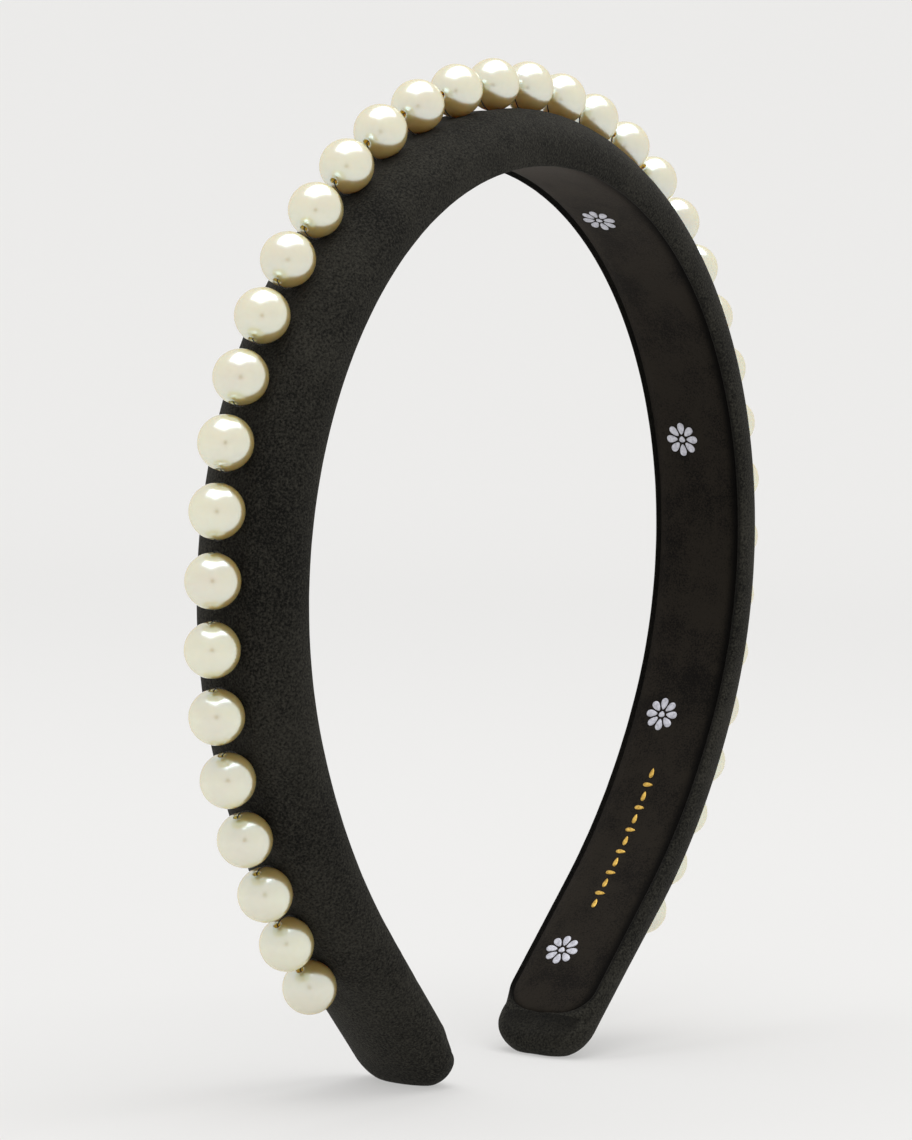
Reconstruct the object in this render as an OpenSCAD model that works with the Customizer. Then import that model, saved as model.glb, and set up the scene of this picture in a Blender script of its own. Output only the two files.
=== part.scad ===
// Padded velvet headband with a row of pearls sewn along its crown line.
// The band stands on its two tips: +Z is up, X runs from ear to ear, Y across the
// band, and the origin is the middle of the bounding box at floor level.

/* [Band path, measured on the inner face] */
// Radius of the arc over the top of the head
crown_r = 64; // [55:0.5:75]
// Angle from the top to the end of the crown arc
crown_angle = 21; // [15:1:25]
// Radius of the arc beside the head
side_r = 61; // [52:0.5:73]
// Angle of the side arc
side_angle = 92; // [77:1:98]
// Radius of the gentler arc behind the ear
leg_r = 90; // [75:0.5:108]
// Angle of the arc behind the ear
leg_angle = 22; // [19:1:27]
// Straight length from the last arc to the tip
leg_len = 33; // [28:0.5:40]

/* [Band section] */
// Width of the padded band
band_w = 17; // [14:0.5:22]
// Thickness from the inner face to the top of the padding
band_t = 8; // [7:0.1:10]
// Height above the inner face where the padding is widest
widest_h = 2; // [1.8:0.1:3]
// Roundness exponent of the crowned outer side
crown_exp = 2.3; // [2:0.1:3]
// Roundness exponent of the rolled inner edges
edge_exp = 3.2; // [2.6:0.1:4]
// Corner radius of the tip seen from outside
tip_corner_r = 6.5; // [3:0.5:7]
// Rounding of the tip's outer edge
tip_edge_r = 3.5; // [2:0.5:4]
// Rounding of the tip's inner edge
tip_inner_r = 1.2; // [0.8:0.1:1.4]
// Thickness lost between the side of the head and the tip
tip_thinning = 1.6; // [0:0.1:2]
// Length of each leg over which the padding thins
thinning_len = 75; // [50:5:90]
// Depth of padding pressed flat where a tip rests
foot_press = 0.9; // [0.3:0.1:1.2]

/* [Layers] */
// Thickness of the velvet
velvet_t = 0.7; // [0.5:0.1:1]
// Thickness of the lining strip
lining_t = 0.8; // [0.5:0.1:1]
// Width of the lining strip
lining_w = 14.5; // [11:0.5:15.5]
// Distance from the end of the lining to the tip
lining_margin = 6; // [5:0.5:12]
// Corner radius at the ends of the lining
lining_corner_r = 5.5; // [3:0.5:6]
// Width of the spring strip
core_w = 12; // [8:0.5:12.5]
// Corner radius at the ends of the spring strip
core_corner_r = 5; // [2:0.5:5.5]
// Thickness of the spring strip
core_t = 1.2; // [0.8:0.1:1.5]
// Distance from the end of the spring strip to the tip
core_margin = 5; // [4:0.5:8]
// Clearance around the lining in its recess
glue_gap = 0.05; // [0.03:0.01:0.1]

/* [Pearls] */
// Pearl diameter
pearl_d = 8; // [6:0.5:8.5]
// Bore through each pearl
bore_d = 1; // [0.8:0.1:1.2]
// Least distance from the centre of the last pearl to the tip, along the pearl line
row_margin = 29; // [20:1:40]
// Pearls each side of the crown pearl that follow the wider pitch
crown_pearls = 6; // [4:1:8]
// Pitch of the pearls over the crown, along their centre line
crown_pitch = 10.2; // [9.7:0.1:11.5]
// Pitch of the pearls down the legs, along their centre line
leg_pitch = 9.7; // [9.5:0.1:10.5]
// Shift of the crown pearl from the middle
row_shift = 2.5; // [0:0.1:3]
// Gap between a pearl and the velvet under it
seat_gap = 0.02; // [0.01:0.01:0.1]
// Sideways wander of the sewn row
row_wander = 0.25; // [0:0.05:0.5]

/* [Thread] */
// Diameter of the sewing thread
thread_d = 0.4; // [0.3:0.1:0.5]

/* [Hidden] */
$fn = 48;

// Margin by which cutting shapes overrun what they cut
over = 1;
// Points on half the crowned side of an outline and on each rolled edge
top_points = 7;
roll_points = 4;
// Rings along the crown arc, side arc, arc behind the ear, straight and rounded tip
crown_rings = 5;
side_rings = 20;
leg_rings = 5;
straight_rings = 4;
tip_rings = 8;
// Largest share of a body's half width that a channel may take up
channel_share = 0.9;
// Distance between the two rings where a channel stops
hair = 0.02;
// Distance past a pearl at which its stitch turns down, and the stitch's lean under it
stitch_lead = 0.3;
stitch_lean = 8;
// Period of the row's sideways wander, in pearls
wander_period = 5.3;

// Centres and end angles of the three tangent arcs, right half, before lifting.
// Angle 0 is the top of the head and grows towards the tip.
angle_1 = crown_angle;
angle_2 = angle_1 + side_angle;
angle_3 = angle_2 + leg_angle;
centre_1 = [0, -crown_r];
centre_2 = centre_1 + (crown_r - side_r) * out_dir(angle_1);
centre_3 = centre_2 + (side_r - leg_r) * out_dir(angle_2);
leg_start = centre_3 + leg_r * out_dir(angle_3);
leg_end = leg_start + leg_len * run_dir(angle_3);

// Lengths along the inner face
len_1 = arc_len(crown_r, crown_angle);
len_2 = len_1 + arc_len(side_r, side_angle);
len_3 = len_2 + arc_len(leg_r, leg_angle);
len_end = len_3 + leg_len;

// Height of the top of the inner face above the floor
lift = foot_depth() - leg_end[1] - foot_press;

// Levels through the band, measured outwards from the inner face
core_in = lining_t + velvet_t;

// Channels: the lining's recess, the lining itself, the core's bed, and none
lining_channel = [lining_w / 2 + glue_gap, lining_t, lining_margin - glue_gap, lining_corner_r];
lining_strip = [lining_w / 2, lining_t, lining_margin, lining_corner_r];
core_channel = [core_w / 2, core_in + core_t, core_margin, core_corner_r];
no_channel = [core_w / 2, core_in, core_margin, core_corner_r];

pearl_r = pearl_d / 2;
pearl_h = band_t + seat_gap + pearl_r;

// Pearls that fit on each side of the crown pearl
row_end = run_3(pearl_h) + leg_len - row_margin;
pearls_left = pearls_within(row_end + row_shift);
pearls_right = pearls_within(row_end - row_shift);
pearl_count = pearls_left + 1 + pearls_right;

function out_dir(a) = [sin(a), cos(a)];
function run_dir(a) = [cos(a), -sin(a)];
function arc_len(r, a) = r * a * PI / 180;
function pearl_name(i) = str("pearl_", i < 10 ? "0" : "", i);

// How far the rounded outer edge of the tip reaches below the end of the inner face
function foot_depth() =
    let (corner = [-tip_edge_r, band_t - tip_thinning - tip_edge_r])
    -(corner[0] * run_dir(angle_3)[1] + corner[1] * out_dir(angle_3)[1]) + tip_edge_r;

// Length at height h above the inner face, from the top to the end of each arc
function run_1(h) = arc_len(crown_r + h, crown_angle);
function run_2(h) = run_1(h) + arc_len(side_r + h, side_angle);
function run_3(h) = run_2(h) + arc_len(leg_r + h, leg_angle);

// Angle of the band at length s along the line at height h
function angle_at(s, h) =
    s < run_1(h) ? s / arc_len(crown_r + h, 1)
    : s < run_2(h) ? angle_1 + (s - run_1(h)) / arc_len(side_r + h, 1)
    : s < run_3(h) ? angle_2 + (s - run_2(h)) / arc_len(leg_r + h, 1)
    : angle_3;

// Point [x, z] at length s along the line at height h
function point_at(s, h) =
    let (a = angle_at(s, h))
    s < run_1(h) ? centre_1 + (crown_r + h) * out_dir(a)
    : s < run_2(h) ? centre_2 + (side_r + h) * out_dir(a)
    : s < run_3(h) ? centre_3 + (leg_r + h) * out_dir(a)
    : leg_start + h * out_dir(a) + (s - run_3(h)) * run_dir(a);

// Thickness lost at length s along the inner face, growing evenly towards the tip
function thinning(s) = tip_thinning * pow(max(s - len_end + thinning_len, 0) / thinning_len, 2);

// Length along the inner face under a point at length s on the line at height h
function inner_run(s, h) =
    s < run_1(h) ? s * crown_r / (crown_r + h)
    : s < run_2(h) ? len_1 + (s - run_1(h)) * side_r / (side_r + h)
    : s < run_3(h) ? len_2 + (s - run_2(h)) * leg_r / (leg_r + h)
    : len_3 + s - run_3(h);

// Length of pearl number n from the crown pearl, left negative, along the pearl line
function pearl_run(n) =
    row_shift
    + sign(n) * (min(abs(n), crown_pearls) * crown_pitch + max(abs(n) - crown_pearls, 0) * leg_pitch);
function pearls_within(length) =
    crown_pearls + floor((length - crown_pearls * crown_pitch) / leg_pitch);
function pearl_y(n) = row_wander * sin(360 * n / wander_period);

// Depth lost to a rounding of radius r at distance u from the end that it rounds off
function round_off(u, r) = u >= r ? 0 : r - sqrt(pow(r, 2) - pow(r - max(u, 0), 2));

// Height of a rounded edge of half width a and depth b, exponent e, at distance y from the middle
function edge_height(y, a, b, e) = b * pow(max(1 - pow(y / a, e), 0), 1 / e);

// A channel runs along the inner side of a body: [half width, level of its floor, distance of
// its end from the tip, corner radius]. It narrows at its rounded ends and stops there.
function channel_open(s, c) = s <= len_end - c[2];
function channel_half(s, c) = c[0] - round_off(len_end - c[2] - s, c[3]);

// Half outline of a body at length s as [height, y], from the crown line round to the middle of
// the inner side: shrunk by inset, kept above the level from, with the channel c in it
function half_outline(s, inset, from, c) =
    let (
        u = len_end - inset - s,
        a = band_w / 2 - inset - round_off(u, tip_corner_r - inset),
        rise = band_t - inset - thinning(s) - round_off(u, tip_edge_r - inset) - widest_h,
        fall = widest_h - inset - round_off(u, max(tip_inner_r - inset, 0)),
        w = min(channel_half(s, c), a * channel_share)
    )
    concat(
        [for (i = [0:top_points - 1])
            let (y = a * sin(90 * i / top_points))
            [widest_h + edge_height(y, a, rise, crown_exp), y]],
        [for (i = [0:roll_points])
            let (y = w + (a - w) * cos(90 * i / roll_points))
            [max(widest_h - edge_height(y, a, fall, edge_exp), from), y]],
        [channel_open(s, c)
            ? [c[1], w]
            : [max(widest_h - edge_height(w / 2, a, fall, edge_exp), from), w / 2]]
    );

// Point at signed length s, height h and y, no lower than the level floor_z
function ring_point(s, h, y, floor_z) =
    let (p = point_at(abs(s), 0) + h * out_dir(angle_at(abs(s), 0)))
    [s < 0 ? -p[0] : p[0], y, max(p[1] + lift, floor_z)];

// Ring of a body at signed length s
function body_ring(s, inset, from, c) =
    let (half = half_outline(abs(s), inset, from, c), last = len(half) - 1)
    concat(
        [for (p = half) ring_point(s, p[0], p[1], inset)],
        [for (i = [last:-1:1]) ring_point(s, half[i][0], -half[i][1], inset)]
    );

// Ring of a flat strip that fills the channel c from the level low
function strip_ring(s, low, c) =
    let (w = channel_half(abs(s), c))
    [for (p = [[c[1], -w], [c[1], w], [low, w], [low, -w]]) ring_point(s, p[0], p[1], 0)];

// Lengths of the rings of one half, to an end whose rounding has radius r
function half_stations(end, r) = concat(
    [for (i = [1:crown_rings - 1]) len_1 * i / crown_rings],
    [for (i = [0:side_rings - 1]) len_1 + (len_2 - len_1) * i / side_rings],
    [for (i = [0:leg_rings - 1]) len_2 + (len_3 - len_2) * i / leg_rings],
    [for (i = [0:straight_rings - 1]) len_3 + (end - r - len_3) * i / straight_rings],
    [for (i = [0:tip_rings]) end - r * (1 - sin(90 * i / tip_rings))]
);

// The same for a body with a channel: rings along the channel's rounded end as well, two of
// them a hair apart where it stops
function body_stations(inset, c) =
    let (
        stop = len_end - c[2],
        channel = [for (s = half_stations(stop, c[3])) if (s > stop - c[3]) s],
        body = half_stations(len_end - inset, tip_corner_r - inset),
        before = [for (s = body) if (s <= stop - c[3]) s],
        after = [for (s = body) if (s > stop + 2 * hair) s]
    )
    concat(before, channel, [stop + hair], after);

function both_ways(half) =
    concat([for (i = [len(half) - 1:-1:0]) -half[i]], [0], half);

// Places its children on the line at height h, with local x towards the tip and
// local z outwards; negative s is the left half
module at_run(s, h, y = 0) {
    p = point_at(abs(s), h);
    mirror([s < 0 ? 1 : 0, 0, 0])
        translate([p[0], y, p[1] + lift])
            rotate([0, angle_at(abs(s), h), 0])
                children();
}

// Skin over rings of equal counts, closed at both ends
module skin(rings) {
    n = len(rings[0]);
    last = len(rings) - 1;
    polyhedron(
        [for (ring = rings) each ring],
        concat(
            [for (i = [0:last - 1], j = [0:n - 1])
                [i * n + j, i * n + (j + 1) % n, (i + 1) * n + (j + 1) % n, (i + 1) * n + j]],
            [[for (j = [n - 1:-1:0]) j], [for (j = [0:n - 1]) last * n + j]]
        )
    );
}

// The padded band shrunk by inset, above the level from, with a channel c in its inner side
module padded_body(inset, from, c) {
    skin([for (s = both_ways(body_stations(inset, c))) body_ring(s, inset, from, c)]);
}

// Flat strip that fills the channel c from the level low
module strip(low, c) {
    skin([for (s = both_ways(half_stations(len_end - c[2], c[3]))) strip_ring(s, low, c)]);
}

module core_band() {
    color([0.62, 0.64, 0.67])
        strip(core_in, core_channel);
}

module foam_pad() {
    color([0.86, 0.84, 0.76])
        padded_body(velvet_t, core_in, core_channel);
}

module velvet_cover() {
    color([0.13, 0.125, 0.11])
        difference() {
            padded_body(0, 0, lining_channel);
            padded_body(velvet_t, core_in, no_channel);
        }
}

module lining() {
    color([0.17, 0.15, 0.12])
        strip(0, lining_strip);
}

// Centre of pearl n, with local x along the row and local z outwards
module on_row(n) {
    s = pearl_run(n);
    at_run(s, pearl_h, pearl_y(n))
        translate([0, 0, -thinning(inner_run(abs(s), pearl_h))])
            children();
}

// The two ends of a stitch, going down to the velvet before and after a pearl
module stitch_legs() {
    drop = pearl_h - band_t - thread_d / 2 * sin(stitch_lean);
    for (side = [-1, 1])
        translate([side * (pearl_r + stitch_lead), 0, 0])
            rotate([180, side * stitch_lean, 0])
                cylinder(d = thread_d, h = drop / cos(stitch_lean));
}

module pearl(n) {
    color([0.93, 0.91, 0.85])
        on_row(n)
            difference() {
                sphere(pearl_r);
                rotate([0, 90, 0])
                    cylinder(d = bore_d, h = pearl_d + 2 * over, center = true);
            }
}

module pearl_thread() {
    color([0.1, 0.1, 0.1])
        for (n = [-pearls_left:pearls_right])
            on_row(n) {
                rotate([0, 90, 0])
                    cylinder(d = thread_d, h = pearl_d + 2 * stitch_lead, center = true);
                stitch_legs();
                for (side = [-1, 1])
                    translate([side * (pearl_r + stitch_lead), 0, 0])
                        sphere(d = thread_d);
            }
}

core_band();
foam_pad();
velvet_cover();
lining();
pearl_thread();
for (i = [1:pearl_count])
    pearl(i - 1 - pearls_left);
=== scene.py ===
import math

import bmesh
import bpy
import numpy as np
from mathutils import Matrix, Vector


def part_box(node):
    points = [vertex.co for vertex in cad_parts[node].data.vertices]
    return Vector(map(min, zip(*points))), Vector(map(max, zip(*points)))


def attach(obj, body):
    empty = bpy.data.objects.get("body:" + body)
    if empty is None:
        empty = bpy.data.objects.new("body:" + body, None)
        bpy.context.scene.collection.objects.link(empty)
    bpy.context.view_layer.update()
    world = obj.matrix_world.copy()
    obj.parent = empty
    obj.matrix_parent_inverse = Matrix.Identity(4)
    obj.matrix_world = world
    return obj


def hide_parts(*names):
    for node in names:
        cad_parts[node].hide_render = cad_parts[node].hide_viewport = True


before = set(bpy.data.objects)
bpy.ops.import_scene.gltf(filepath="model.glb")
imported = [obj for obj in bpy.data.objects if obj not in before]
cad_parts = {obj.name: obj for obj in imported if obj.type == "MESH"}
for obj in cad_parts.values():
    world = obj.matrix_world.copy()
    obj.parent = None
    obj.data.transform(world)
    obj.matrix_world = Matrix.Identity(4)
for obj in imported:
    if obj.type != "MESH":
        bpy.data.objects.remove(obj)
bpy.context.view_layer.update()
headband = "root"

# Spring strip. A flexible plastic strip, moulded to the curve of the head, is the spine of the
# band. It lies between the foam and the lining, where nothing of it shows.

own_coordinates = 3  # the Object output of Texture Coordinate


def new_material(name, **values):
    """A node material; values are its shader's own sockets, named with _ for a space."""
    made = bpy.data.materials.new(name)
    made.use_nodes = True
    set_sockets(made.node_tree.nodes["Principled BSDF"], values)
    return made


def set_sockets(node, values):
    """Sets or links a node's inputs by name."""
    for name, value in values.items():
        socket = node.inputs[name.replace("_", " ")]
        if isinstance(value, bpy.types.NodeSocket):
            node.id_data.links.new(value, socket)
        else:
            socket.default_value = value


def node(material, kind, output=0, settings=None, **values):
    """Adds a shader node of that kind and returns one of its outputs."""
    added = material.node_tree.nodes.new("ShaderNode" + kind)
    for name, value in (settings or {}).items():
        setattr(added, name, value)
    set_sockets(added, values)
    return added.outputs[output]


def shader_of(material):
    """The shader that a new material starts with."""
    return material.node_tree.nodes["Principled BSDF"]


def speckle(material, scale, detail=2.0, roughness=0.5, stretch=(1, 1, 1)):
    """Noise on the piece's own coordinates, scale in cells per metre."""
    place = node(material, "TexCoord", output=own_coordinates)
    place = node(material, "Mapping", Vector=place, Scale=stretch)
    return node(material, "TexNoise", Vector=place, Scale=scale, Detail=detail,
                Roughness=roughness)


def ramp(material, factor, stops):
    """A colour ramp through (position, colour) stops."""
    colour = node(material, "ValToRGB", Fac=factor)
    bands = colour.node.color_ramp
    while len(bands.elements) < len(stops):
        bands.elements.new(0.5)
    for element, (position, rgb) in zip(bands.elements, stops):
        element.position = position
        element.color = (*rgb, 1)
    return colour


def relief(material, height, depth, strength=1.0):
    """A bump of that depth in metres."""
    return node(material, "Bump", Height=height, Distance=depth, Strength=strength)


def finish_node(name, material):
    """Gives a CAD node a material in place of its plain one."""
    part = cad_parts[name]
    part.data.materials.clear()
    part.data.materials.append(material)


spring_plastic = new_material("spring_plastic", Roughness=0.42, Specular_IOR_Level=0.45)
flow = speckle(spring_plastic, 180, detail=3, stretch=(1, 4, 1))
set_sockets(shader_of(spring_plastic), {
    "Base_Color": ramp(spring_plastic, flow,
                       [(0.35, (0.30, 0.32, 0.35)), (0.7, (0.40, 0.42, 0.45))]),
    "Normal": relief(spring_plastic, speckle(spring_plastic, 2600), 0.00003, 0.5),
})
finish_node("core_band", spring_plastic)

# Foam pad. Soft open-cell foam is glued over the strip and shaped round its edges. It gives the
# band its crowned section, and the velvet hides all of it.

foam_cells = new_material("foam_cells", Roughness=0.95, Specular_IOR_Level=0.2)
cells_place = node(foam_cells, "TexCoord", output=own_coordinates)
cells = node(foam_cells, "TexVoronoi", Vector=cells_place, Scale=2200.0)
set_sockets(shader_of(foam_cells), {
    "Base_Color": ramp(foam_cells, cells, [(0.1, (0.42, 0.38, 0.28)), (0.6, (0.72, 0.68, 0.55))]),
    "Normal": relief(foam_cells, cells, 0.00025),
})
finish_node("foam_pad", foam_cells)

# Velvet cover. Short-pile black velvet is pulled over the foam, turned in and glued under the
# lining. It crowns over the padding, puckers a little at the turned edge, and the tips close
# round and stand pressed flat.

arc_radii = np.array([0.064, 0.061, 0.090])
arc_angles = np.radians([21, 92, 22])
leg_straight = 0.033
half_width = 0.0085
padding_depth = 0.008
widest_level = 0.002
tip_thinning = 0.0016
thinning_length = 0.075
tip_round = 0.0065
lining_half_width = 0.00725
lining_margin = 0.006
lining_round = 0.0055
lining_depth = 0.0008
lining_offset = 0.0008
crown_power, tip_power = 2.3, 3.0
crown_points, roll_points, dip_points, floor_points = 13, 10, 4, 3
swell_from_row, swell_reach = 0.0032, 0.0016
swell_start, swell_rise = 0.022, 0.01

crown_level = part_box("velvet_cover")[1].z - padding_depth
bends = np.concatenate([[0], np.cumsum(arc_radii * arc_angles)])
turns = np.concatenate([[0], np.cumsum(arc_angles)])
half_length = bends[-1] + leg_straight
lining_end = half_length - lining_margin
pearl_names = sorted(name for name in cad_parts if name.startswith("pearl_")
                     and name != "pearl_thread")
pearl_centres = np.array([sum(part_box(name), Vector()) / 2 for name in pearl_names])


def band_line(run):
    """Inner face at signed length run from the crown, as x, z and the outward angle. Each arc
    adds its radius times the change in sine and cosine of the angle along it, and the leg's
    straight end adds the rest."""
    length = np.abs(run)
    angle = np.interp(length, bends, turns)
    x = np.zeros_like(angle)
    z = np.full_like(angle, crown_level)
    for radius, start, end in zip(arc_radii, turns[:-1], turns[1:]):
        along = np.clip(angle, start, end)
        x += radius * (np.sin(along) - math.sin(start))
        z += radius * (np.cos(along) - math.cos(start))
    straight = np.maximum(length - bends[-1], 0)
    x += straight * np.cos(angle)
    z -= straight * np.sin(angle)
    return np.sign(run) * x, z, np.sign(run) * angle


def on_band(run, height, across):
    """Points at signed length run, height outwards from the inner face, and across the band."""
    x, z, angle = band_line(run)
    return np.stack(np.broadcast_arrays(
        x + height * np.sin(angle), across, z + height * np.cos(angle)), axis=-1)


def closing(to_end, reach, squareness):
    """Share of the full size at a distance from a rounded end: a superellipse quarter that is
    0 at the end and 1 from reach on."""
    u = np.clip(to_end / reach, 0, 1)
    return (1 - (1 - u) ** 2) ** (1 / squareness)


def stations(end, reach, step, rounded):
    """Lengths from the crown to a rounded end, evenly spaced and then closer round the end."""
    flat = np.arange(0, end - reach, step)
    return np.concatenate([flat, end - reach * (1 - np.cos(np.linspace(math.pi / 2, 0, rounded)))])


def both_ways(lengths, least_gap=0.0001):
    """The same lengths on both legs, in order, each at least a gap short of the next."""
    lengths = np.sort(lengths)
    kept = lengths[np.concatenate([np.diff(lengths) > least_gap, [True]])]
    return np.concatenate([-kept[:0:-1], kept])[:, None]


def grid_mesh(name, points, around=False, along=False, mark=None):
    """A mesh of quads over a grid of points (rows, columns, 3), joined up around the rows or
    along the columns where asked; doubled points at poles are merged. mark is kept as an
    attribute of the points."""
    rows, columns = points.shape[:2]
    index = np.arange(rows * columns).reshape(rows, columns)
    if along:
        index = np.concatenate([index, index[:1]])
    if around:
        index = np.concatenate([index, index[:, :1]], axis=1)
    quads = np.stack([index[:-1, :-1], index[:-1, 1:], index[1:, 1:], index[1:, :-1]], axis=-1)
    mesh = bpy.data.meshes.new(name)
    mesh.from_pydata(points.reshape(-1, 3).tolist(), [], quads.reshape(-1, 4).tolist())
    if mark is not None:
        mesh.attributes.new("mark", "FLOAT", "POINT").data.foreach_set("value", mark.ravel())
    work = bmesh.new()
    work.from_mesh(mesh)
    bmesh.ops.remove_doubles(work, verts=work.verts, dist=2e-6)
    bmesh.ops.recalc_face_normals(work, faces=work.faces)
    work.to_mesh(mesh)
    work.free()
    mesh.shade_smooth()
    return mesh


def new_piece(name, mesh, material):
    """Puts a mesh in the scene as a piece of the headband."""
    piece = bpy.data.objects.new(name, mesh)
    bpy.context.scene.collection.objects.link(piece)
    mesh.materials.append(material)
    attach(piece, headband)
    return piece


def points_of(mesh):
    """The mesh's points as an array (points, 3)."""
    flat = np.empty(len(mesh.vertices) * 3)
    mesh.vertices.foreach_get("co", flat)
    return flat.reshape(-1, 3)


def half_section(run, lining_edge, crease, bulge, edge_power, swell):
    """Heights and distances across of one half of the cover for each length: a crowned
    superellipse outside, swelling a little beside the pearls, a rolled edge with exponent
    edge_power inside, a quarter-round dip beside the lining, and the floor of its recess."""
    length = np.abs(run)
    to_tip = half_length - length
    half = half_width * closing(to_tip, tip_round, 2.6)
    thinned = tip_thinning * (np.maximum(thinning_length - to_tip, 0) / thinning_length) ** 2
    rise = (padding_depth - widest_level - thinned) * closing(to_tip, 0.0044, 2.4)
    fall = widest_level * closing(to_tip, 0.0022, 2.2)
    open_share = closing(lining_end - length, lining_round, 2.6)
    recess = lining_edge * open_share
    bulge = bulge * closing(to_tip, tip_round, 2.0)
    edge_power = tip_power + (edge_power - tip_power) * open_share
    lip = recess + crease * open_share

    crown_turn = np.linspace(0, math.pi / 2, crown_points)
    roll_turn = np.linspace(0, math.pi / 2, roll_points + 1)[1:]
    dip_turn = np.linspace(0, math.pi / 2, dip_points + 1)[1:]
    outer = half * np.sin(crown_turn) ** (2 / crown_power)
    outer_height = widest_level + rise * np.cos(crown_turn) ** (2 / crown_power)
    swell = swell * np.clip((to_tip - swell_start) / swell_rise, 0, 1)
    outer_height = outer_height + swell * np.exp(-((outer - swell_from_row) / swell_reach) ** 2)
    roll = lip + (half - lip) * np.cos(roll_turn) ** (2 / edge_power)
    roll_height = widest_level - (fall + bulge) * np.sin(roll_turn) ** (2 / edge_power)
    dip = lip - (lip - recess + 0.0001 * open_share) * np.sin(dip_turn)
    drop = (lining_depth + bulge) * np.minimum(open_share * 3, 1)
    dip_height = widest_level - fall - bulge + drop * (1 - np.cos(dip_turn))
    floor = dip[:, -1:] * np.array([0.66, 0.33, 0.0])
    floor_height = np.repeat(dip_height[:, -1:], floor_points, axis=1)
    return (np.concatenate([outer_height, roll_height, dip_height, floor_height], axis=1),
            np.concatenate([outer, roll, dip, floor], axis=1))


def pucker(run, height, across):
    """Depth of the small folds where the cloth is gathered round the inner edge: waves along
    the band with wandering phase, strongest at the roll and gone a third of the way up."""
    rng = np.random.default_rng(7)
    waves = np.zeros_like(run)
    for period in (0.0021, 0.0029, 0.0043, 0.0071):
        phase = rng.uniform(0, 2 * math.pi, 2)
        drift = 2.2 * np.sin(run / 0.017 + phase[1])
        waves = waves + np.sin(2 * math.pi * run / period + drift + phase[0])
    near_edge = np.exp(-((height - 0.0012) / 0.0016) ** 2) * (np.abs(across) > 0.5 * half_width)
    strength = 0.5 + 0.5 * np.sin(run / 0.013 + 1.0) * np.sin(run / 0.031)
    return 0.00002 * strength * waves * near_edge


cover_run = both_ways(np.concatenate([
    stations(half_length, tip_round, 0.0012, 16),
    stations(lining_end, lining_round, 0.02, 14),
    lining_end + np.array([0.0003, 0.0008])]))
near_half = half_section(cover_run, lining_half_width, crease=0.0006, bulge=0.0003,
                         edge_power=2.6, swell=0.0009)
far_half = half_section(cover_run, lining_half_width + lining_offset, crease=0.00015,
                        bulge=0.0001, edge_power=2.0, swell=0.0003)
cover_height = np.concatenate([far_half[0], near_half[0][:, -2:0:-1]], axis=1)
cover_across = np.concatenate([far_half[1], -near_half[1][:, -2:0:-1]], axis=1)
side = np.sign(cover_across)
folds = pucker(cover_run, cover_height, cover_across)
cover_grid = on_band(cover_run, cover_height - 0.4 * folds, cover_across + side * folds)
cover_grid[..., 2] = np.maximum(cover_grid[..., 2], 0)
# painted shade: the mark is 1 in the glued recess under the lining and 0.3 and 0.7 at the foot of
# the roll beside it; beyond the lining it also darkens the tips' inner faces, 0.85 fading to 0 at
# their ends
roll_end = crown_points + roll_points
pad_start = roll_end - 6
beside_lining = half_length - np.abs(cover_run) > lining_margin
fade_to_tip_end = np.minimum(1, 1.2 * (half_length - np.abs(cover_run)) / lining_margin)
half_shade_and_glue = np.zeros((len(cover_run), near_half[0].shape[1]))
half_shade_and_glue[:, pad_start:] = 0.85 * ~beside_lining * fade_to_tip_end
foot_of_roll = half_shade_and_glue[:, roll_end - 2:roll_end]
half_shade_and_glue[:, roll_end - 2:roll_end] = np.maximum(foot_of_roll, [0.3, 0.7] * beside_lining)
half_shade_and_glue[:, roll_end:] = np.maximum(half_shade_and_glue[:, roll_end:], beside_lining)
shade_and_glue = np.concatenate([half_shade_and_glue, half_shade_and_glue[:, -2:0:-1]], axis=1)
velvet_mesh = grid_mesh("velvet_cover_cloth", cover_grid, around=True, mark=np.float32(shade_and_glue))

# stitches hold the velvet down before and after each pearl
pearl_steps = np.diff(pearl_centres, axis=0)
row_way = np.concatenate([
    pearl_steps[:1], (pearl_steps[:-1] + pearl_steps[1:]) / 2, pearl_steps[-1:]])
row_way /= np.linalg.norm(row_way, axis=1, keepdims=True)
row_out = np.stack([-row_way[:, 2], np.zeros(len(row_way)), row_way[:, 0]], axis=1)
row_out /= np.linalg.norm(row_out, axis=1, keepdims=True)
pearl_radius = (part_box(pearl_names[0])[1].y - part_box(pearl_names[0])[0].y) / 2
stitch_points = np.concatenate([
    pearl_centres - row_out * pearl_radius + way * row_way * 1.08 * pearl_radius
    for way in (-1, 1)])


def swollen(mesh, held, pressure, most, scale=10, frames=20):
    """Cloth simulation of a closed cover: a copy scaled up is blown up by pressure while the
    held points stay, and each point's move is returned, scaled back and capped at most."""
    rest = points_of(mesh)
    blown = mesh.copy()
    blown.vertices.foreach_set("co", (rest * scale).ravel())
    cloth_object = bpy.data.objects.new("cloth_run", blown)
    bpy.context.scene.collection.objects.link(cloth_object)
    pins = cloth_object.vertex_groups.new(name="held")
    pins.add(np.flatnonzero(held).tolist(), 1.0, "REPLACE")
    cloth = cloth_object.modifiers.new("cloth", "CLOTH")
    cloth.settings.vertex_group_mass = pins.name
    cloth.settings.quality = 4
    cloth.settings.use_pressure = True
    cloth.settings.uniform_pressure_force = pressure
    cloth.settings.effector_weights.gravity = 0
    cloth.point_cache.frame_start = 1
    cloth.point_cache.frame_end = frames
    for step in range(1, frames + 1):
        bpy.context.scene.frame_set(step)
    seen = cloth_object.evaluated_get(bpy.context.evaluated_depsgraph_get()).to_mesh()
    move = points_of(seen) / scale - rest
    bpy.context.scene.frame_set(1)
    bpy.data.objects.remove(cloth_object)
    bpy.data.meshes.remove(blown)
    size = np.linalg.norm(move, axis=1, keepdims=True)
    return move * np.minimum(1, most / np.maximum(size, 1e-12))


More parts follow.
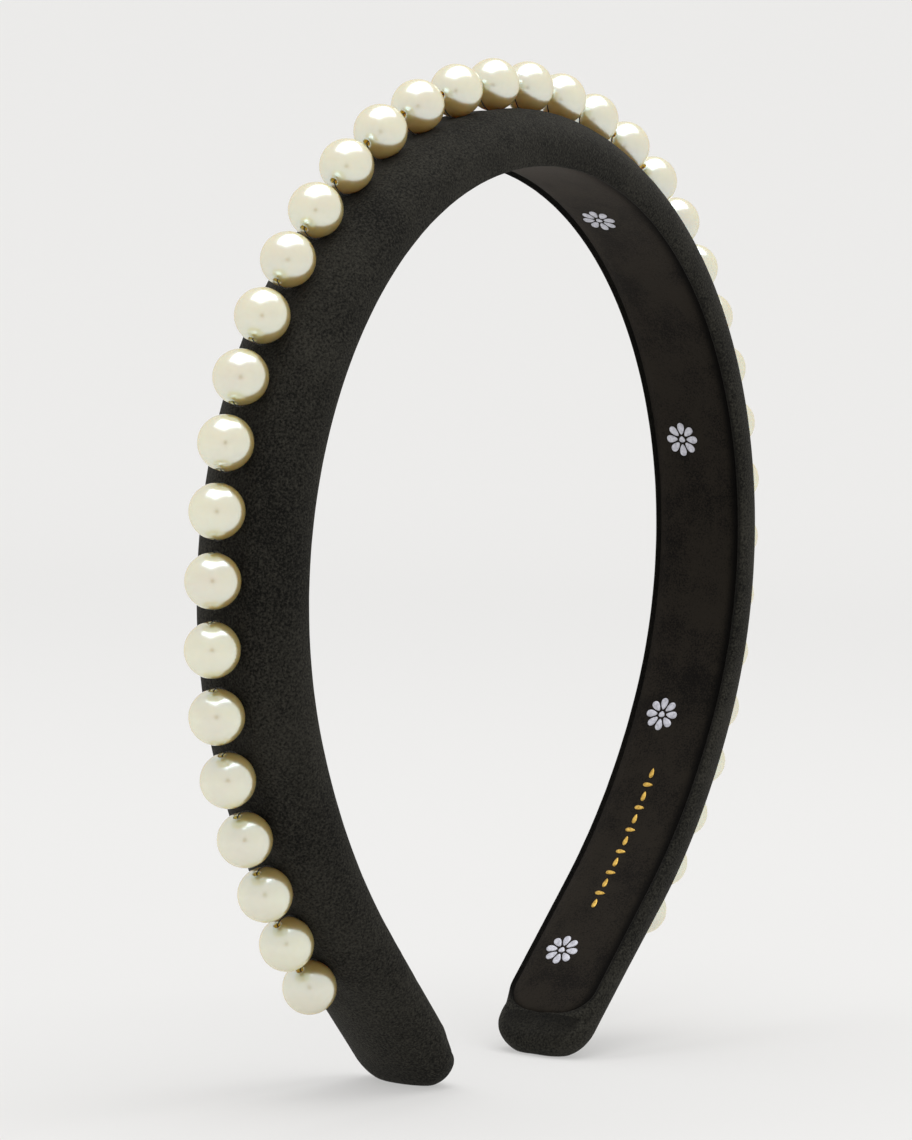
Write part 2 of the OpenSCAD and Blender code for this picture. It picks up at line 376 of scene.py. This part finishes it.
stitch_hold, foot_hold = 0.0012, 0.0001
velvet_points = points_of(velvet_mesh)
stitch_gap = np.linalg.norm(velvet_points[:, None] - stitch_points[None], axis=2).min(axis=1)
held = np.empty(len(velvet_points), np.float32)
velvet_mesh.attributes["mark"].data.foreach_get("value", held)
held = (held > 0.9) | (stitch_gap < stitch_hold) | (velvet_points[:, 2] < foot_hold)
velvet_points = velvet_points + swollen(velvet_mesh, held, pressure=4.0, most=0.0003)
velvet_points[:, 2] = np.maximum(velvet_points[:, 2], 0)
velvet_mesh.vertices.foreach_set("co", velvet_points.ravel())


def weighed_sum(material, first, weight, second):
    """First times the weight, plus second."""
    added = node(material, "Math", settings={"operation": "MULTIPLY_ADD"})
    material.node_tree.links.new(first, added.node.inputs[0])
    added.node.inputs[1].default_value = weight
    material.node_tree.links.new(second, added.node.inputs[2])
    return added


def darker(material, colour, share):
    """The colour, taken down to that share of itself where the mesh's mark is 1, which paints shade
    into it.
    """
    marked = node(material, "Attribute", output=2, settings={"attribute_name": "mark"})
    product = node(material, "VectorMath", settings={"operation": "MULTIPLY"})
    links = material.node_tree.links
    links.new(colour, product.node.inputs[0])
    links.new(ramp(material, marked, [(0.0, (1, 1, 1)), (1.0, share)]), product.node.inputs[1])
    return product


black_velvet = new_material("black_velvet", Roughness=0.85, Specular_IOR_Level=0.12,
                            Sheen_Weight=0.05, Sheen_Roughness=0.42,
                            Sheen_Tint=(0.60, 0.57, 0.50, 1))
pile = speckle(black_velvet, 2900, detail=3, roughness=0.65)
brushed = speckle(black_velvet, 70, detail=4, roughness=0.6)
pile_tone = weighed_sum(black_velvet, brushed, 0.35, pile)
pile_colour = ramp(black_velvet, pile_tone,
                   [(0.54, (0.0030, 0.0029, 0.0021)), (0.83, (0.0335, 0.0315, 0.0250))])
# painted shade: where the mark is 1 the velvet's colour goes down to about a quarter
set_sockets(shader_of(black_velvet), {
    "Base_Color": darker(black_velvet, pile_colour, (0.25, 0.24, 0.22)),
    "Normal": relief(black_velvet, pile, 0.00018, 1.0),
})

velvet = new_piece("velvet_cover_cloth", velvet_mesh, black_velvet)
smooth = velvet.modifiers.new("smooth", "SUBSURF")
smooth.levels = smooth.render_levels = 1
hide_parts("velvet_cover")

# Lining. A strip of brushed suede-like cloth with rounded ends covers the velvet's turned-in
# edges. It is glued flat to the inside of the band from near one tip to near the other.

turned_in, lining_level, lining_gap = 0.0007, 0.00012, 0.00015
lining_run = both_ways(stations(lining_end, lining_round, 0.0014, 14))
lining_closing = closing(lining_end - np.abs(lining_run), lining_round, 2.6)
lining_turn = np.linspace(-1, 1, 33)
lining_turn = np.sign(lining_turn) * (1 - (1 - np.abs(lining_turn)) ** 1.25)
lining_across = ((lining_half_width - lining_gap + lining_offset / 2) * lining_turn
                 + lining_offset / 2) * lining_closing
edge_drop = turned_in * np.abs(lining_turn) ** 8 * np.ones_like(lining_run)
end_drop = turned_in * (1 - closing(lining_end - np.abs(lining_run), 0.0012, 2.0))
lining_drop = np.maximum(edge_drop, end_drop)
lining_face = lining_level + lining_drop
lining_under = np.full_like(lining_face[:, 1:-1], lining_depth)
# painted shade: the lining's colour goes down to about an eighth in a band along its near edge, in
# a thin line at its far edge, and where its ends dip
shaded = np.where(lining_turn < 0, np.clip((-lining_turn - 0.80) / 0.12, 0, 1), lining_turn ** 24)
shaded = np.maximum(shaded, end_drop / turned_in)
shaded = np.concatenate([shaded, np.ones_like(lining_under)], axis=1)
lining_mesh = grid_mesh("lining_strip", on_band(
    lining_run, np.concatenate([lining_face, lining_under], axis=1),
    np.concatenate([lining_across, lining_across[:, -2:0:-1]], axis=1)), around=True,
    mark=np.float32(shaded))

brushed_suede = new_material("brushed_suede", Roughness=0.93, Specular_IOR_Level=0.1,
                             Sheen_Weight=0.13, Sheen_Roughness=0.5,
                             Sheen_Tint=(0.75, 0.66, 0.58, 1))
nap = speckle(brushed_suede, 3400, detail=4, roughness=0.7)
rubbed = speckle(brushed_suede, 110, detail=5, roughness=0.65)
nap_tone = weighed_sum(brushed_suede, rubbed, 0.9, nap)
nap_colour = ramp(brushed_suede, nap_tone,
                  [(0.80, (0.0020, 0.0016, 0.0012)), (1.10, (0.0140, 0.0113, 0.0080))])
set_sockets(shader_of(brushed_suede), {
    "Base_Color": darker(brushed_suede, nap_colour, (0.12, 0.12, 0.12)),
    "Normal": relief(brushed_suede, nap, 0.00006, 0.7),
})
lining = new_piece("lining_strip", lining_mesh, brushed_suede)
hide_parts("lining")

# Foil print. Small silver rosettes and a gold rule of lozenges are stamped on the lining in
# thin metal foil, a plain pattern along its middle.

foil_height = 0.00006
rosette_runs = 0.0304 + 0.0466 * np.arange(-4, 4)
rosette_across = 0.0024
rule_across = 0.0009


def petal(run, across, turn, length, width, reach):
    """One petal as a fan of rings: an oval of that length and width whose middle lies at reach
    from the point at run and across, turned round it."""
    share = np.array([[0.02], [0.5], [0.9], [1.0]])
    around = np.linspace(0, 2 * math.pi, 25)[None, :-1]
    u = reach + share * length / 2 * np.cos(around)
    v = share * width / 2 * np.sin(around) * (1 + 0.35 * np.cos(around))
    level = foil_height * np.array([[1.0], [1.0], [0.9], [-0.5]]) + 0 * u
    return on_band(run + u * math.cos(turn) - v * math.sin(turn), lining_level - level,
                   across + u * math.sin(turn) + v * math.cos(turn))


def foil_piece(name, fans, material):
    """One thin piece from many closed fans of points."""
    points = np.concatenate([fan[None] for fan in fans])
    count, rings, around = points.shape[:3]
    index = np.arange(count * rings * around).reshape(count, rings, around)
    index = np.concatenate([index, index[:, :, :1]], axis=2)
    quads = np.stack([index[:, :-1, :-1], index[:, :-1, 1:], index[:, 1:, 1:],
                      index[:, 1:, :-1]], axis=-1)
    mesh = bpy.data.meshes.new(name)
    caps = index[:, 0, :-1].tolist() + index[:, -1, -2::-1].tolist()
    mesh.from_pydata(points.reshape(-1, 3).tolist(), [],
                     quads.reshape(-1, 4).tolist() + caps)
    work = bmesh.new()
    work.from_mesh(mesh)
    bmesh.ops.recalc_face_normals(work, faces=work.faces)
    work.to_mesh(mesh)
    work.free()
    mesh.shade_smooth()
    return new_piece(name, mesh, material)


silver_foil = new_material("silver_foil", Metallic=0.35, Roughness=0.45)
foil_wear = speckle(silver_foil, 1800, detail=3)
set_sockets(shader_of(silver_foil), {
    "Base_Color": ramp(silver_foil, foil_wear,
                       [(0.3, (0.40, 0.40, 0.45)), (0.6, (0.62, 0.62, 0.68))]),
    "Normal": relief(silver_foil, foil_wear, 0.00004, 0.5),
})
rosettes = [petal(run, rosette_across, math.radians(45 * k), 0.0021, 0.00125, 0.00185)
            for run in rosette_runs for k in range(8)]
rosettes += [petal(run, rosette_across, 0, 0.0011, 0.0011, 0.0) for run in rosette_runs]
foil_piece("foil_rosettes", rosettes, silver_foil)

gold_foil = new_material("gold_foil", Metallic=0.8, Roughness=0.35)
gold_wear = speckle(gold_foil, 2400, detail=3)
set_sockets(shader_of(gold_foil), {
    "Base_Color": ramp(gold_foil, gold_wear,
                       [(0.3, (0.42, 0.24, 0.04)), (0.6, (0.72, 0.46, 0.10))]),
    "Normal": relief(gold_foil, gold_wear, 0.00004, 0.5),
})
rule_runs = np.linspace(0.1342, 0.1602, 13)
rule = [petal(run, rule_across, math.pi / 2 * (k % 2), 0.0019, 0.0008, 0.0)
        for k, run in enumerate(rule_runs)]
foil_piece("foil_gold_rule", rule, gold_foil)

# Pearls. Thirty-eight moulded beads, each drilled through and dipped in ivory pearl lacquer,
# are sewn one by one in a row along the crown line.

bore_radius = 0.0005
rim_round = 0.00012


def bead_profile():
    """Half section of a drilled bead as (distance from the bore, distance along it): the outer
    arc from rim to rim, a small round at each rim, and the bore's wall."""
    opening = math.asin((bore_radius + rim_round) / pearl_radius)
    arc = np.linspace(opening, math.pi - opening, 41)
    outer = pearl_radius * np.stack([np.sin(arc), np.cos(arc)], axis=1)
    rim = np.linspace(0, math.pi / 2, 5)[1:]
    depth = outer[0, 1]
    lower = np.stack([bore_radius + rim_round * (1 - np.sin(rim)),
                      -depth + rim_round * (1 - np.cos(rim))], axis=1)
    upper = lower[::-1] * [1, -1]
    return np.concatenate([outer, lower, upper])


def bead_points(centre, way, out):
    """The profile turned round the line along the row through the bead's centre."""
    side_way = np.cross(way, out)
    turn = np.linspace(0, 2 * math.pi, 57)[:-1, None, None]
    profile = bead_profile()
    from_bore = profile[None, :, :1]
    return (centre + from_bore * (np.cos(turn) * out + np.sin(turn) * side_way)
            + profile[None, :, 1:] * way)


pearl_lacquer = new_material("pearl_lacquer", Roughness=0.5, Coat_Weight=1.0, Coat_Roughness=0.04)
cloud = speckle(pearl_lacquer, 160, detail=2)
body_colour = ramp(pearl_lacquer, cloud,
                   [(0.35, (0.98, 0.55, 0.155)), (0.65, (1.0, 0.59, 0.19))])
set_sockets(shader_of(pearl_lacquer), {
    "Base_Color": body_colour, "Subsurface_Weight": 1.0, "Subsurface_Scale": 0.008,
    "Subsurface_Radius": (1.0, 0.8, 0.5)})
nacre = pearl_lacquer.node_tree.nodes.new("ShaderNodeBsdfPrincipled")
set_sockets(nacre, {
    "Base_Color": ramp(pearl_lacquer, cloud,
                       [(0.35, (0.76, 0.92, 1.0)), (0.65, (0.82, 0.97, 1.0))]),
    "Metallic": 1.0, "Roughness": 0.24, "Specular_Tint": (0.85, 0.76, 0.58, 1),
    "Coat_Weight": 1.0, "Coat_Roughness": 0.03,
    "Normal": relief(pearl_lacquer, speckle(pearl_lacquer, 900, detail=2), 0.000004, 0.6),
})
lacquer_mix = node(pearl_lacquer, "MixShader")
lacquer_mix.node.inputs[0].default_value = 0.60
lacquer_links = pearl_lacquer.node_tree.links
lacquer_links.new(shader_of(pearl_lacquer).outputs[0], lacquer_mix.node.inputs[1])
lacquer_links.new(nacre.outputs[0], lacquer_mix.node.inputs[2])
lacquer_links.new(lacquer_mix, pearl_lacquer.node_tree.nodes["Material Output"].inputs[0])

for name, centre, way, out in zip(pearl_names, pearl_centres, row_way, row_out):
    bead = new_piece(name.replace("pearl", "bead"),
                     grid_mesh(name, bead_points(centre, way, out), around=True, along=True),
                     pearl_lacquer)
    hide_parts(name)

# Thread. Black polyester goes through each bead's bore and is drawn down close round the bead
# into the velvet under it, so hardly any of it shows between the beads.

thread_radius = 0.00009
thread_clearance = 0.0001


def stitch_line():
    """Centreline of one stitch in the bead's own plane as (along the row, outwards): straight
    through the bore, then round the bead at a small clearance until it is in the velvet."""
    wrap = np.radians(np.linspace(100, 162, 16))
    reach = pearl_radius + thread_clearance
    wrapped = reach * np.stack([np.sin(wrap), np.cos(wrap)], axis=1)
    inside = np.stack([np.linspace(0, pearl_radius * 0.98, 8), np.zeros(8)], axis=1)
    half_line = np.concatenate([inside, wrapped])
    return np.concatenate([half_line[:0:-1] * [-1, 1], half_line])


def tube(line, radius, sides=8):
    """Rings of that many points round a line (points, 3); closed to a point at both ends."""
    way = np.gradient(line, axis=0)
    way /= np.linalg.norm(way, axis=1, keepdims=True)
    across = np.array([0.0, 1.0, 0.0]) - way * way[:, 1:2]
    across /= np.linalg.norm(across, axis=1, keepdims=True)
    other = np.cross(way, across)
    turn = np.linspace(0, 2 * math.pi, sides + 1)[:-1, None]
    size = np.full((len(line), 1, 1), radius)
    size[0] = size[-1] = 0
    return line[:, None] + size * (np.cos(turn) * across[:, None] + np.sin(turn) * other[:, None])


def joined_grids(name, grids):
    """One mesh from several grids of points, each joined up around its rows."""
    work = bmesh.new()
    for grid in grids:
        part = grid_mesh(name, grid, around=True)
        work.from_mesh(part)
        bpy.data.meshes.remove(part)
    mesh = bpy.data.meshes.new(name)
    work.to_mesh(mesh)
    work.free()
    mesh.shade_smooth()
    return mesh


sewing_thread = new_material("sewing_thread", Roughness=0.7, Specular_IOR_Level=0.3,
                             Sheen_Weight=0.3, Sheen_Roughness=0.4)
twist_place = node(sewing_thread, "TexCoord", output=own_coordinates)
twist = node(sewing_thread, "TexWave", Vector=twist_place, Scale=900.0, Distortion=1.5)
set_sockets(shader_of(sewing_thread), {
    "Base_Color": ramp(sewing_thread, twist,
                       [(0.2, (0.006, 0.006, 0.005)), (0.8, (0.022, 0.021, 0.019))]),
    "Normal": relief(sewing_thread, twist, 0.00006),
})
stitches = [tube(centre + stitch_line()[:, :1] * way + stitch_line()[:, 1:] * out, thread_radius)
            for centre, way, out in zip(pearl_centres, row_way, row_out)]
thread = new_piece("sewing_thread", joined_grids("sewing_thread", stitches), sewing_thread)
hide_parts("pearl_thread")

# Studio. A pale floor rises at its far edge into a round wall, with the band standing in the
# middle under one broad soft box. A grey hood stands round the camera's lens.

floor_radius, wall_radius, wall_height = 1.5, 2.6, 2.4
floor_level = -0.00005
wall_turn = np.linspace(0, math.pi / 2, 25)[1:]
sweep = np.concatenate([
    np.stack([np.linspace(0, floor_radius, 21), np.zeros(21)], axis=1),
    np.stack([floor_radius + (wall_radius - floor_radius) * np.sin(wall_turn),
              wall_height * (1 - np.cos(wall_turn))], axis=1)])
round_turn = np.linspace(0, 2 * math.pi, 129)[:-1, None]
floor_grid = np.stack([sweep[:, 0] * np.cos(round_turn), sweep[:, 0] * np.sin(round_turn),
                       floor_level + sweep[:, 1] * np.ones_like(round_turn)], axis=-1)
floor_mesh = grid_mesh("studio_floor", floor_grid, along=True)
floor = bpy.data.objects.new("studio_floor", floor_mesh)
bpy.context.scene.collection.objects.link(floor)
pale_floor = new_material("pale_floor", Roughness=0.9, Specular_IOR_Level=0.0,
                          Base_Color=(0.36, 0.3575, 0.352, 1), Emission_Color=(1.0, 0.993, 0.98, 1))
from_middle = node(pale_floor, "VectorMath", output=1, settings={"operation": "LENGTH"},
                   Vector=node(pale_floor, "TexCoord", output=own_coordinates))
glow = node(pale_floor, "MapRange", Value=from_middle)
for socket, value in (("From Min", 0.2), ("From Max", 1.7), ("To Min", 0.425), ("To Max", 0.525)):
    glow.node.inputs[socket].default_value = value
set_sockets(shader_of(pale_floor), {"Emission_Strength": glow})
floor_mesh.materials.append(pale_floor)

world = bpy.data.worlds.new("studio_air")
world.use_nodes = True
world.node_tree.nodes["Background"].inputs["Color"].default_value = (0.97, 0.98, 1.0, 1)
world.node_tree.nodes["Background"].inputs["Strength"].default_value = 0.8
bpy.context.scene.world = world
bpy.context.scene.view_settings.view_transform = "Standard"

azimuth, elevation, roll = np.radians([-57.078, 2.809, 2.502])
shift_right, shift_up, distance = -0.009094, -0.061935, 0.644027
focal_over_height = 4213.385 / 1140
back = np.array([math.sin(azimuth) * math.cos(elevation), -math.cos(azimuth) * math.cos(elevation),
                 math.sin(elevation)])
level_right = np.cross(-back, [0, 0, 1])
level_right /= np.linalg.norm(level_right)
level_up = np.cross(level_right, -back)
right = math.cos(roll) * level_right + math.sin(roll) * level_up
up = -math.sin(roll) * level_right + math.cos(roll) * level_up
eye = shift_right * right + shift_up * up + distance * back + np.array([0, 0, crown_level])
camera = bpy.data.objects.new("camera", bpy.data.cameras.new("camera"))
camera.data.sensor_width = 36
camera.data.lens = 36 * focal_over_height
camera.matrix_world = Matrix(np.column_stack([right, up, back, eye]).tolist() + [[0, 0, 0, 1]])
bpy.context.scene.collection.objects.link(camera)
bpy.context.scene.camera = camera

middle = np.array([0, 0, crown_level / 2])


def soft_box(name, direction, away, width, height, power):
    """An area light facing the band from a direction given as right, up and back shares."""
    toward = direction[0] * level_right + direction[1] * np.array([0, 0, 1]) + direction[2] * back
    toward = Vector(toward).normalized()
    light = bpy.data.lights.new(name, "AREA")
    light.shape = "RECTANGLE"
    light.size, light.size_y, light.energy = width, height, power
    box = bpy.data.objects.new(name, light)
    box.matrix_world = (Matrix.Translation(Vector(middle) + away * toward)
                        @ toward.to_track_quat("Z", "Y").to_matrix().to_4x4())
    bpy.context.scene.collection.objects.link(box)
    return box


soft_box("soft_box_top", (0.03, 1.0, 0.03), 1.0, 1.4, 0.9, 7.4)

hood_radius = 0.08
hood_turn = np.linspace(0, 2 * math.pi, 49)[:-1, None]
hood_rim = eye + 0.01 * back + hood_radius * (np.cos(hood_turn) * right + np.sin(hood_turn) * up)
hood_mesh = bpy.data.meshes.new("camera_hood")
hood_mesh.from_pydata(hood_rim.tolist(), [], [list(range(48))])
camera_hood = bpy.data.objects.new("camera_hood", hood_mesh)
bpy.context.scene.collection.objects.link(camera_hood)
hood_mesh.materials.append(
    new_material("hood_grey", Base_Color=(0.25, 0.25, 0.25, 1), Roughness=0.8))
